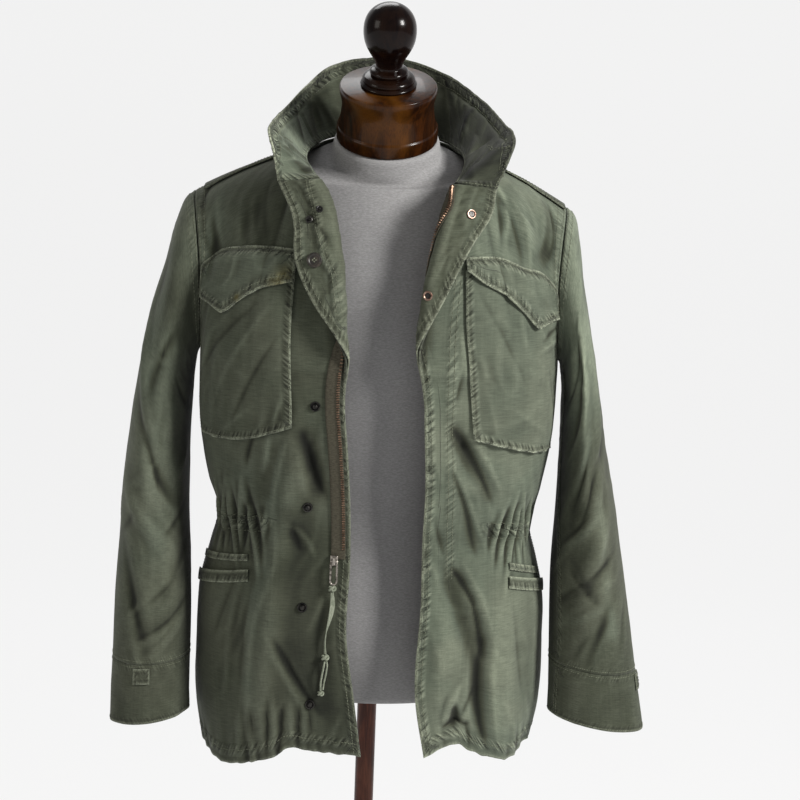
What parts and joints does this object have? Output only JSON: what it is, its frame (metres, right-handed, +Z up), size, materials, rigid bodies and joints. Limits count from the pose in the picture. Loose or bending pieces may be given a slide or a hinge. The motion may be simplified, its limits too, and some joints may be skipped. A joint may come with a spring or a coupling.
{
  "type": "field jacket on a limbless dress form",
  "caption": "Worn field jacket with stand collar, turned-out fronts, flapped pockets and gathered waist and hem, open on a limbless dress form with a turned stand",
  "frame": {"origin": "middle of the stand's base, on its underside", "axes": "+Z up, -Y the jacket's front, +X the wearer's left"},
  "size_m": [0.645, 0.3335, 1.6094],
  "materials": {
    "olive_sateen": "worn cotton sateen with a fine horizontal slub",
    "olive_tape": "matte woven tape and cord",
    "blackened_brass": "blackened brass, worn at the rims",
    "worn_copper": "worn copper",
    "dark_button": "dark four-hole button",
    "linen": "pale linen",
    "mahogany": "glossy red-brown varnish",
    "dark_wood": "glossy near-black varnish"
  },
  "bodies": {
    "garment": {"back": "olive_sateen", "front_right": "olive_sateen", "front_left": "olive_sateen", "facing_right": "olive_sateen", "facing_left": "olive_sateen", "collar": "olive_sateen", "sleeve_right": "olive_sateen", "sleeve_left": "olive_sateen", "cuff_right": "olive_sateen", "cuff_left": "olive_sateen", "cuff_tab_right": "olive_sateen", "cuff_tab_left": "olive_sateen", "chest_pocket_right": "olive_sateen", "chest_pocket_left": "olive_sateen", "chest_flap_right": "olive_sateen", "chest_flap_left": "olive_sateen", "hip_band_right": "olive_sateen", "hip_band_left": "olive_sateen", "hip_welt_right": "olive_sateen", "hip_welt_left": "olive_sateen", "shoulder_strap_right": "olive_sateen", "shoulder_strap_left": "olive_sateen", "zip_tape_right": "olive_tape", "zip_tape_left": "olive_tape", "stud_1": "blackened_brass", "stud_2": "blackened_brass", "stud_3": "blackened_brass", "stud_4": "blackened_brass", "snap_high_right": "blackened_brass", "snap_edge_right": "blackened_brass", "zip_slider": "blackened_brass", "snap_ring_high_left": "worn_copper", "snap_ring_low_left": "worn_copper", "liner_button_right": "dark_button", "strap_button_right": "dark_button", "strap_button_left": "dark_button", "form_torso": "linen", "neck_cap": "mahogany", "base": "mahogany", "pole": "mahogany", "finial": "dark_wood"},
    "zip_pull": {"zip_pull_loop": "blackened_brass", "pull_knot_high": "olive_tape", "pull_tape": "olive_tape", "pull_knot_mid": "olive_tape", "pull_cord_front": "olive_tape", "pull_cord_back": "olive_tape", "pull_knot_low": "olive_tape"}
  },
  "joints": [
    {"name": "zip_pull_swing", "type": "hinge", "parent": "garment", "child": "zip_pull", "pos_m": [-0.0415, -0.1532, 0.979], "axis": [-1, 0, 0], "range_deg": [0, 60]}
  ]
}
